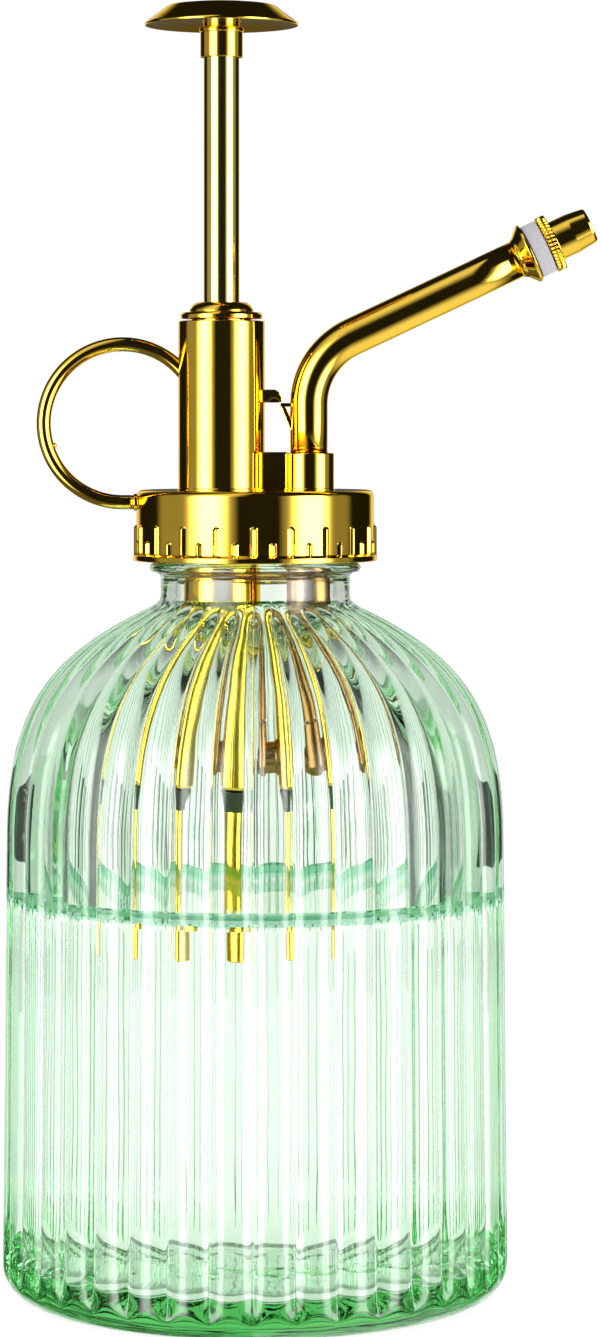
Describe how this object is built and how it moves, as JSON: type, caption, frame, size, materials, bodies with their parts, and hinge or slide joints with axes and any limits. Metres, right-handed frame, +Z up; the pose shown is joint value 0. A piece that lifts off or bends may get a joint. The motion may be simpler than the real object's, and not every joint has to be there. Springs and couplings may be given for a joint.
{
  "type": "hand mister",
  "caption": "Fluted glass bottle with a screw-on plated pump head, thumb plunger, finger ring and bent spout with an adjustable mist tip.",
  "frame": {"origin": "centre of the bottle's flat base", "axes": "+Z up along the bottle, +X towards the spout, the finger ring on the -X side"},
  "size_m": [0.092, 0.0778, 0.1988],
  "materials": {
    "green_glass": "clear pale green pressed glass",
    "gold_plate": "mirror-bright gold plating",
    "pale_gold": "bright champagne plating",
    "steel": "plain",
    "rubber": "matt black",
    "white_plastic": "satin off-white",
    "olive_plastic": "satin dark olive"
  },
  "bodies": {
    "bottle": {"glass_bottle": "green_glass"},
    "cap_lift": {"neck_gasket": "rubber"},
    "head": {"pump_head": "gold_plate", "finger_ring": "gold_plate", "gland_nut": "gold_plate", "rod_seal": "rubber", "pump_barrel": "gold_plate", "cross_plug": "gold_plate", "riser_tube": "gold_plate", "outlet_ball_stop": "white_plastic", "inlet_valve_body": "olive_plastic", "dip_tube": "gold_plate", "return_spring": "steel", "nozzle_pipe": "gold_plate", "nozzle_core": "white_plastic"},
    "plunger": {"piston": "white_plastic", "piston_ring": "rubber", "piston_screw": "steel", "plunger_rod": "pale_gold", "knob_collar": "gold_plate", "knob": "gold_plate"},
    "inlet_ball": {"inlet_ball": "steel"},
    "outlet_ball": {"outlet_ball": "steel"},
    "tip_travel": {"nozzle_seal": "rubber"},
    "tip": {"nozzle_cap": "gold_plate"}
  },
  "joints": [
    {"name": "cap_rise", "type": "slide", "parent": "bottle", "child": "cap_lift", "axis": [0, 0, 1], "range_m": [0, 0.0045]},
    {"name": "cap_turn", "type": "hinge", "parent": "cap_lift", "child": "head", "pos_m": [0, 0, 0.117], "axis": [0, 0, 1], "range_deg": [0, 450]},
    {"name": "plunger_stroke", "type": "slide", "parent": "head", "child": "plunger", "axis": [0, 0, -1], "range_m": [0, 0.034], "stiffness_N_per_m": 120, "springref_m": -0.012, "deforming": ["return_spring"]},
    {"name": "inlet_ball_lift", "type": "slide", "parent": "head", "child": "inlet_ball", "axis": [0, 0, 1], "range_m": [0, 0.0008]},
    {"name": "outlet_ball_lift", "type": "slide", "parent": "head", "child": "outlet_ball", "axis": [0, 0, 1], "range_m": [0, 0.0013]},
    {"name": "tip_rise", "type": "slide", "parent": "head", "child": "tip_travel", "axis": [0.9048, 0, 0.4258], "range_m": [0, 0.0015]},
    {"name": "tip_turn", "type": "hinge", "parent": "tip_travel", "child": "tip", "pos_m": [0.0423, 0, 0.16], "axis": [0.9048, 0, 0.4258], "range_deg": [0, 540]}
  ],
  "couplings": [
    {"joint": "cap_rise", "follows": "cap_turn", "m_per_rad": 0.00057296},
    {"joint": "tip_rise", "follows": "tip_turn", "m_per_rad": 0.00015915}
  ]
}
